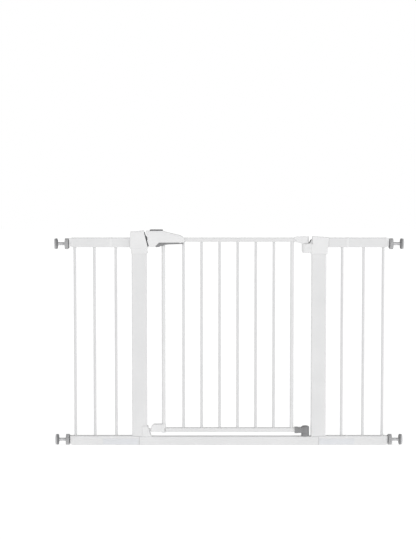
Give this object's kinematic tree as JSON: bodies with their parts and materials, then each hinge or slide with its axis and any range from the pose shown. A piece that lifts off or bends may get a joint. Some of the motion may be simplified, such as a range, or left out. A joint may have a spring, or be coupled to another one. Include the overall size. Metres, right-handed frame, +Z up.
{
  "type": "safety baby gate",
  "caption": "Pressure-fit walk-through safety gate with extension wings, two-way door, squeeze latch and screw-out wall spindles.",
  "frame": {"origin": "on the floor under the middle of the gate", "axes": "+X along the doorway from the latch post to the hinge post, +Y from front to back, +Z up"},
  "size_m": [1.23, 0.0384, 0.7655],
  "materials": {
    "white_steel": "satin white powder coat",
    "white_bar_steel": "satin white powder coat",
    "white_plastic": "fine-grained white moulding",
    "grey_plastic": "mid-grey moulding",
    "light_grey_plastic": "light grey moulding",
    "dark_grey_plastic": "dark grey moulding",
    "bright_steel": "zinc-plated",
    "grey_rubber": "matt",
    "label_film": "satin film, blank"
  },
  "bodies": {
    "frame": {"sill_rail": "white_steel", "latch_post": "white_steel", "hinge_post": "white_steel", "rail_couplers": "white_plastic", "rail_end_plugs": "white_plastic", "sill_spigots": "bright_steel", "latch_cap": "white_plastic", "keeper_plate": "dark_grey_plastic", "hinge_cap": "white_plastic", "cap_screws": "bright_steel", "bottom_keeper": "white_plastic", "hinge_cam_seat": "grey_plastic", "blank_labels": "label_film", "left_wing_bars": "white_bar_steel", "right_wing_bars": "white_bar_steel", "left_inner_top_rail": "white_steel", "left_outer_top_rail": "white_steel", "left_inner_bottom_rail": "white_steel", "left_outer_bottom_rail": "white_steel", "right_inner_top_rail": "white_steel", "right_outer_top_rail": "white_steel", "right_inner_bottom_rail": "white_steel", "right_outer_bottom_rail": "white_steel"},
    "hinge_pins": {"top_hinge_pin": "bright_steel", "bottom_hinge_pin": "bright_steel", "closing_spring": "bright_steel"},
    "door": {"door_top_rail": "white_steel", "door_bottom_rail": "white_steel", "door_latch_stile": "white_steel", "door_hinge_stile": "white_steel", "door_bars": "white_bar_steel", "handle_front_shell": "white_plastic", "handle_back_shell": "white_plastic", "handle_screws": "bright_steel", "door_shoe": "white_plastic", "hinge_knuckle": "white_plastic", "hinge_barrel": "grey_plastic", "trigger_pin": "bright_steel", "bolt_spring": "bright_steel", "slider_spring": "bright_steel"},
    "thumb_slider": {"thumb_slider": "dark_grey_plastic"},
    "trigger": {"trigger_lever": "grey_plastic"},
    "latch_bolt": {"latch_bolt": "dark_grey_plastic"},
    "left_top_spindle": {"left_top_rod": "bright_steel", "left_top_disc": "dark_grey_plastic", "left_top_facing": "grey_rubber"},
    "left_top_nut": {"left_top_nut": "light_grey_plastic"},
    "left_bottom_spindle": {"left_bottom_rod": "bright_steel", "left_bottom_disc": "dark_grey_plastic", "left_bottom_facing": "grey_rubber"},
    "left_bottom_nut": {"left_bottom_nut": "light_grey_plastic"},
    "right_top_spindle": {"right_top_rod": "bright_steel", "right_top_disc": "dark_grey_plastic", "right_top_facing": "grey_rubber"},
    "right_top_nut": {"right_top_nut": "light_grey_plastic"},
    "right_bottom_spindle": {"right_bottom_rod": "bright_steel", "right_bottom_disc": "dark_grey_plastic", "right_bottom_facing": "grey_rubber"},
    "right_bottom_nut": {"right_bottom_nut": "light_grey_plastic"}
  },
  "joints": [
    {"name": "door_lift", "type": "slide", "parent": "frame", "child": "hinge_pins", "axis": [0, 0, 1], "range_m": [0, 0.01]},
    {"name": "door_swing", "type": "hinge", "parent": "hinge_pins", "child": "door", "pos_m": [0.2713, 0, 0.38], "axis": [0, 0, 1], "range_deg": [-90, 90], "stiffness_Nm_per_rad": 0.8},
    {"name": "thumb_slide", "type": "slide", "parent": "door", "child": "thumb_slider", "axis": [1, 0, 0], "range_m": [0, 0.008], "stiffness_N_per_m": 250, "springref_m": -0.002, "deforming": ["slider_spring"]},
    {"name": "trigger_squeeze", "type": "hinge", "parent": "door", "child": "trigger", "pos_m": [-0.172, 0, 0.7203], "axis": [0, 1, 0], "range_deg": [0, 3.5], "stiffness_Nm_per_rad": 1.5, "springref_deg": -1.15},
    {"name": "bolt_retract", "type": "slide", "parent": "door", "child": "latch_bolt", "axis": [1, 0, 0], "range_m": [0, 0.009], "deforming": ["bolt_spring"]},
    {"name": "left_top_spindle_reach", "type": "slide", "parent": "frame", "child": "left_top_spindle", "axis": [-1, 0, 0], "range_m": [-0.024, 0.024]},
    {"name": "left_top_nut_turn", "type": "hinge", "parent": "frame", "child": "left_top_nut", "pos_m": [-0.5708, 0, 0.7155], "axis": [1, 0, 0], "range_deg": [-2881, 2881]},
    {"name": "left_bottom_spindle_reach", "type": "slide", "parent": "frame", "child": "left_bottom_spindle", "axis": [-1, 0, 0], "range_m": [-0.024, 0.024]},
    {"name": "left_bottom_nut_turn", "type": "hinge", "parent": "frame", "child": "left_bottom_nut", "pos_m": [-0.5708, 0, 0.02], "axis": [1, 0, 0], "range_deg": [-2881, 2881]},
    {"name": "right_top_spindle_reach", "type": "slide", "parent": "frame", "child": "right_top_spindle", "axis": [1, 0, 0], "range_m": [-0.024, 0.024]},
    {"name": "right_top_nut_turn", "type": "hinge", "parent": "frame", "child": "right_top_nut", "pos_m": [0.5708, 0, 0.7155], "axis": [1, 0, 0], "range_deg": [-2881, 2881]},
    {"name": "right_bottom_spindle_reach", "type": "slide", "parent": "frame", "child": "right_bottom_spindle", "axis": [1, 0, 0], "range_m": [-0.024, 0.024]},
    {"name": "right_bottom_nut_turn", "type": "hinge", "parent": "frame", "child": "right_bottom_nut", "pos_m": [0.5708, 0, 0.02], "axis": [1, 0, 0], "range_deg": [-2881, 2881]}
  ],
  "couplings": [
    {"joint": "bolt_retract", "follows": "trigger_squeeze", "m_per_rad": 0.14569},
    {"joint": "left_top_nut_turn", "follows": "left_top_spindle_reach", "rad_per_m": 2094.4},
    {"joint": "left_bottom_nut_turn", "follows": "left_bottom_spindle_reach", "rad_per_m": 2094.4},
    {"joint": "right_top_nut_turn", "follows": "right_top_spindle_reach", "rad_per_m": -2094.4},
    {"joint": "right_bottom_nut_turn", "follows": "right_bottom_spindle_reach", "rad_per_m": -2094.4}
  ]
}
